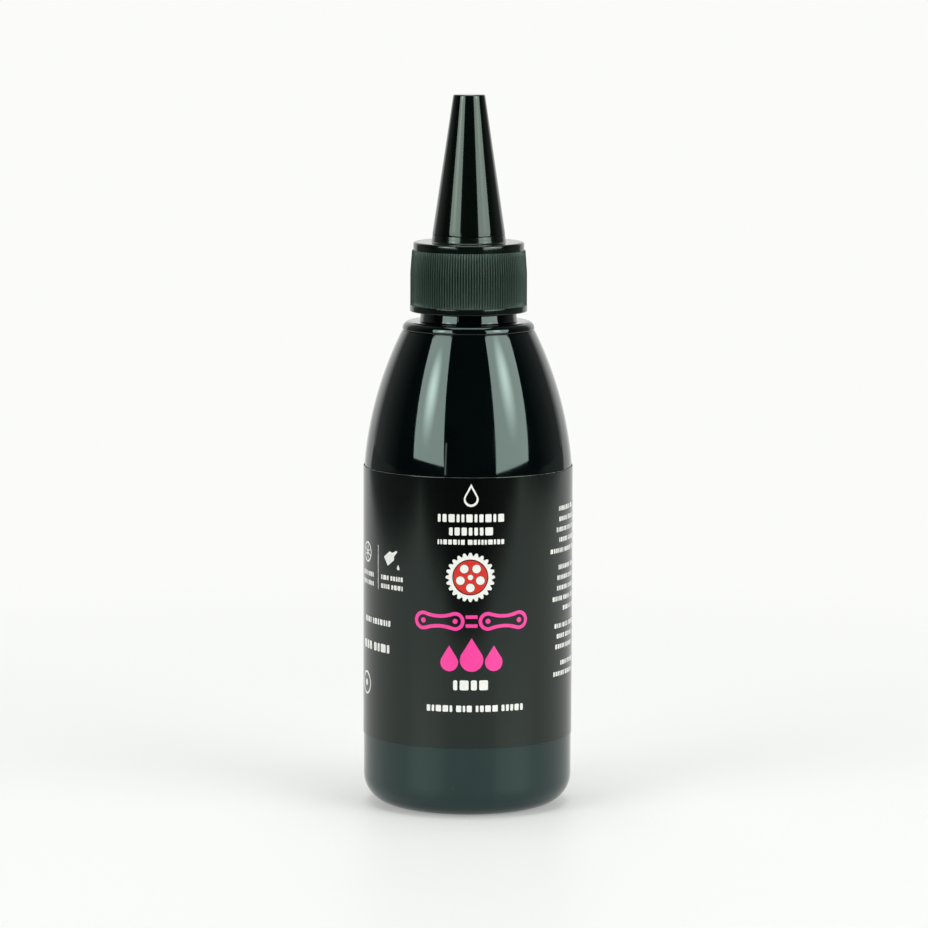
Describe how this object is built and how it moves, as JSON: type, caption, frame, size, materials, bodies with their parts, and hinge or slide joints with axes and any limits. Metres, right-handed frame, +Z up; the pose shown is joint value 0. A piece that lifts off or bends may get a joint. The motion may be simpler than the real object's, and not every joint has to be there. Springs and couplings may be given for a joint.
{
  "type": "chain lube bottle",
  "caption": "Squeeze bottle for chain lube: round bottle with wrap label, ribbed screw cap with pouring spout, and a tall conical overcap.",
  "frame": {"origin": "centre of the base, on the surface the bottle stands on", "axes": "+Z up along the bottle's axis; the front of the label faces -Y and its lap is at +Y"},
  "size_m": [0.0426, 0.0426, 0.1441],
  "materials": {
    "bottle_plastic": "glossy blown HDPE, near black with a green cast",
    "label_film": "satin printed polypropylene film",
    "washer_foam": "foamed polyethylene",
    "cap_plastic": "moulded polypropylene, satin in the grip and glossy on the bands",
    "overcap_plastic": "glossy moulded polypropylene"
  },
  "bodies": {
    "bottle": {"bottle": "bottle_plastic", "label": "label_film"},
    "washer": {"sealing_washer": "washer_foam"},
    "cap": {"screw_cap": "cap_plastic"},
    "overcap": {"overcap": "overcap_plastic"}
  },
  "joints": [
    {"name": "cap_lift", "type": "slide", "parent": "bottle", "child": "washer", "axis": [0, 0, 1], "range_m": [0, 0.0143]},
    {"name": "cap_turn", "type": "hinge", "parent": "washer", "child": "cap", "pos_m": [0, 0, 0.1125], "axis": [0, 0, 1], "range_deg": [0, 1620]},
    {"name": "overcap_pull", "type": "slide", "parent": "cap", "child": "overcap", "axis": [0, 0, 1], "range_m": [0, 0.032]}
  ],
  "couplings": [
    {"joint": "cap_lift", "follows": "cap_turn", "m_per_rad": 0.00050532}
  ]
}
